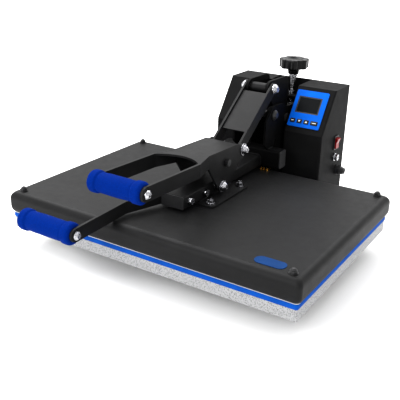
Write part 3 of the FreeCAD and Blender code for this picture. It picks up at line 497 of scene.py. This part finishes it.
def screw_radius(height, turn, radius, below_thread_top):
    """Radius at a height above the lower end and a share of a turn round the screw.

    below_thread_top is how far this height is below the top of the thread.
    """
    if below_thread_top > 0:
        phase = (height / SCREW_PITCH - turn) % 1.0
        depth = SCREW_THREAD_DEPTH * abs(2 * phase - 1)
        radius -= depth * min(1.0, below_thread_top / SCREW_PITCH)
    if height < SCREW_CHAMFER:
        radius -= SCREW_CHAMFER - height
    return radius


def adjusting_screw():
    """The adjusting screw, threaded from its lower end to just below the screw bridge."""
    low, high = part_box("pressure_screw")
    centre = (low + high) / 2
    radius = (high.x - low.x) / 2
    thread_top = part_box("screw_bridge")[0].z - THREAD_BELOW_BRIDGE
    rings = []
    z = low.z
    while z < high.z:
        ring = []
        for j in range(SCREW_SEGMENTS):
            turn = j / SCREW_SEGMENTS
            angle = 2 * math.pi * turn
            r = screw_radius(z - low.z, turn, radius, thread_top - z)
            ring.append((centre.x + r * math.cos(angle), centre.y + r * math.sin(angle), z))
        rings.append(ring)
        z += SCREW_PITCH / SCREW_LAYERS_PER_PITCH if z < thread_top else SCREW_PLAIN_STEP
    rings.append([(x, y, high.z) for x, y, _ in rings[-1]])
    screw = piece("adjusting_screw", rings_to_mesh("adjusting_screw", rings), "chrome", "knob")
    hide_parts("pressure_screw")


def top_sleeve():
    """Dark spacer tube on the top pivot bolt, between the rocker plates."""
    low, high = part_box("top_pivot_bolt")
    centre = (low + high) / 2
    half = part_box("pressure_rocker")[1].x - SLEEVE_END_GAP
    end_radius = SLEEVE_RADIUS - SLEEVE_CHAMFER
    profile = [(-half, end_radius), (-half + SLEEVE_CHAMFER, SLEEVE_RADIUS)]
    profile += [(half * share, SLEEVE_RADIUS) for share in (-0.6, -0.2, 0.2, 0.6)]
    profile += [(half - SLEEVE_CHAMFER, SLEEVE_RADIUS), (half, end_radius)]
    mesh = turned_about_x("top_pivot_sleeve", profile, centre, SLEEVE_BORE)
    piece("top_pivot_sleeve", mesh, "frame_paint", "rocker")


def weld(name, start, end, radius):
    """A bead of overlapping ripples from start to end, on the arm."""
    start, end = Vector(start), Vector(end)
    path = end - start
    length = path.length
    along = path.normalized()
    side = along.orthogonal().normalized()
    up = along.cross(side)
    count = max(4, int(length / WELD_STEP))
    rings = []
    for i in range(count + 1):
        s = length * i / count
        ripple = 0.82 + 0.18 * abs(math.sin(math.pi * s / WELD_RIPPLE))
        taper = min(1.0, math.sqrt(max(0.02, min(s, length - s) / (2 * radius))))
        r = radius * ripple * taper * (1 + 0.10 * noise.noise(start * 50 + along * s * 300))
        centre = start + along * s
        angles = [2 * math.pi * k / WELD_SIDES for k in range(WELD_SIDES)]
        rings.append([centre + (side * math.cos(a) + up * math.sin(a)) * r for a in angles])
    piece(name, rings_to_mesh(name, rings), "frame_paint", "arm")


def welds():
    """Beads at the hinge ears, round the beam's rear end and along the mounting plate."""
    ear_outer_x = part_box("hinge_ears")[1].x
    cross_low, cross_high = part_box("rear_crosstube")
    beam_low, beam_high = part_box("arm_beam")
    plate_low, plate_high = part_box("mounting_plate")
    front_y, back_y = cross_low.y + EAR_WELD_FRONT_INSET, cross_high.y - EAR_WELD_BACK_INSET
    plate_length = plate_high.y - plate_low.y
    for side, label in ((-1, "left"), (1, "right")):
        for x, where in ((EAR_INNER_X, "inner"), (ear_outer_x, "outer")):
            weld(f"weld_ear_{label}_{where}", (side * x, front_y, cross_high.z),
                 (side * x, back_y, cross_high.z), EAR_WELD_RADIUS)
        x = side * beam_high.x
        weld(f"weld_beam_side_{label}", (x, beam_high.y, beam_low.z + BEAM_WELD_INSET),
             (x, beam_high.y, beam_high.z - BEAM_WELD_INSET), BEAM_WELD_RADIUS)
        for i in range(3):
            y = plate_low.y + plate_length * (0.06 + 0.33 * i)
            weld(f"weld_plate_{label}_{i + 1}", (x, y, plate_high.z),
                 (x, y + 0.2 * plate_length, plate_high.z), PLATE_WELD_RADIUS)
    weld("weld_beam_top", (beam_low.x + BEAM_WELD_INSET, beam_high.y, beam_high.z),
         (beam_high.x - BEAM_WELD_INSET, beam_high.y, beam_high.z), BEAM_WELD_RADIUS)


def slope_frame():
    """Across, up-slope and outward directions of the control panel."""
    inward = next(Vector(j["axis"]) for j in frame["joints"] if j["name"] == "mode_press")
    outward = -inward.normalized()
    across = Vector((1, 0, 0))
    return across, outward.cross(across), outward


def printed(name, outline, origin, body):
    """A thin flat white shape, outline in millimetres across and up the slope."""
    across, up, out = slope_frame()
    count = len(outline)
    verts = [origin + across * (u * MM) + up * (v * MM) + out * (PRINT_THICKNESS * k)
             for k in (0, 1) for u, v in outline]
    faces = [tuple(range(count)), tuple(range(count, 2 * count))]
    faces += [(i, (i + 1) % count, count + (i + 1) % count, count + i) for i in range(count)]
    piece(name, mesh_from(name, verts, faces), "button_plastic", body, PRINT_WHITE, smooth=False)


def face_centre(node):
    """Middle of the outermost face of a control panel part."""
    across, up, out = slope_frame()
    spots = [v.co.copy() for v in frame["nodes"][node].data.vertices]
    level = max(spot.dot(out) for spot in spots)
    face = [spot for spot in spots if spot.dot(out) > level - FACE_TOLERANCE]
    mid_u = (max(p.dot(across) for p in face) + min(p.dot(across) for p in face)) / 2
    mid_v = (max(p.dot(up) for p in face) + min(p.dot(up) for p in face)) / 2
    return across * mid_u + up * mid_v + out * level


def button_prints():
    """Plain symbols on the buttons: a dash, two arrows and a longer dash."""
    dash = [(-2.6, -0.7), (2.6, -0.7), (2.6, 0.7), (-2.6, 0.7)]
    long_dash = [(-4.6, -0.7), (4.6, -0.7), (4.6, 0.7), (-4.6, 0.7)]
    arrow_up = [(-2.6, -1.9), (2.6, -1.9), (0, 2.4)]
    arrow_down = [(0, -2.4), (2.6, 1.9), (-2.6, 1.9)]
    signs = {"mode": dash, "down": arrow_down, "up": arrow_up, "ok": long_dash}
    for label, outline in signs.items():
        printed("print_" + label, outline, face_centre("button_" + label), label + "_button")


def display_frame():
    """A rectangular frame on the display window, its top sloping down to the inner edge."""
    across, up, out = slope_frame()
    origin = face_centre("display_window")
    loops = []
    for (half_u, half_v), lift in ((DISPLAY_FRAME_OUTER, 0.0), (DISPLAY_FRAME_OUTER, 1.0),
                                   (DISPLAY_FRAME_INNER, 0.55), (DISPLAY_FRAME_INNER, 0.0)):
        loops.append([origin + across * (su * half_u * MM) + up * (sv * half_v * MM)
                      + out * DISPLAY_FRAME_HEIGHT * lift
                      for su, sv in ((-1, -1), (1, -1), (1, 1), (-1, 1))])
    mesh = rings_to_mesh("display_frame", loops, closed_loop=True)
    piece("display_frame", mesh, "display", "base", MATERIALS["black_plastic"], smooth=False)


# ---------------------------------------------------------------- studio
def floor():
    corners = [(sx * FLOOR_HALF, sy * FLOOR_HALF, 0) for sx, sy in ((-1, -1), (1, -1), (1, 1), (-1, 1))]
    mesh = mesh_from("floor", corners, [(0, 1, 2, 3)])
    obj = bpy.data.objects.new("floor", mesh)
    bpy.context.scene.collection.objects.link(obj)
    dress(obj, floor_material())


def softbox(name, spot, size, power):
    """A round area lamp at spot, aimed at the press."""
    data = bpy.data.lights.new(name, "AREA")
    data.shape = "DISK"
    data.size = size
    data.energy = power
    lamp = bpy.data.objects.new(name, data)
    bpy.context.scene.collection.objects.link(lamp)
    lamp.location = spot
    lamp.rotation_euler = (Vector(LIGHT_TARGET) - Vector(spot)).to_track_quat("-Z", "Y").to_euler()


def studio():
    scene = bpy.context.scene
    scene.view_settings.view_transform = "Standard"
    scene.view_settings.look = "Medium High Contrast"
    world = bpy.data.worlds.new("studio")
    scene.world = world
    world.use_nodes = True
    back = world.node_tree.nodes["Background"]
    back.inputs["Color"].default_value = (1.0, 1.0, 1.0, 1.0)
    back.inputs["Strength"].default_value = WORLD_STRENGTH
    softbox("key_light", (-1.6, 0.5, 2.6), size=2.4, power=90)
    softbox("fill_light", (-0.6, -2.0, 1.3), size=1.4, power=26)
    softbox("back_light", (0.2, 2.4, 2.4), size=2.0, power=35)


def camera():
    """Looks down from the front right, placed by its offset from the middle of the pad's top."""
    low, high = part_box("silicone_pad")
    middle = Vector(((low.x + high.x) / 2, (low.y + high.y) / 2, high.z))
    azimuth, elevation, roll = (math.radians(angle) for angle in CAMERA_ANGLES)
    forward = Vector((-math.sin(azimuth) * math.cos(elevation),
                      math.cos(azimuth) * math.cos(elevation), -math.sin(elevation)))
    data = bpy.data.cameras.new("camera")
    data.sensor_width = CAMERA_SENSOR
    data.lens = CAMERA_LENS
    obj = bpy.data.objects.new("camera", data)
    bpy.context.scene.collection.objects.link(obj)
    obj.location = middle + Vector(CAMERA_OFFSET)
    obj.rotation_mode = "QUATERNION"
    obj.rotation_quaternion = forward.to_track_quat("-Z", "Y") @ Quaternion((0, 0, 1), roll)
    bpy.context.scene.camera = obj


dress_cad()
foam_grip("lever_grip_foam", "lever_grip", "lever")
foam_grip("front_grip_foam", "front_grip", "arm")
silicone_sheet()
adjusting_screw()
top_sleeve()
welds()
button_prints()
display_frame()
floor()
studio()
camera()
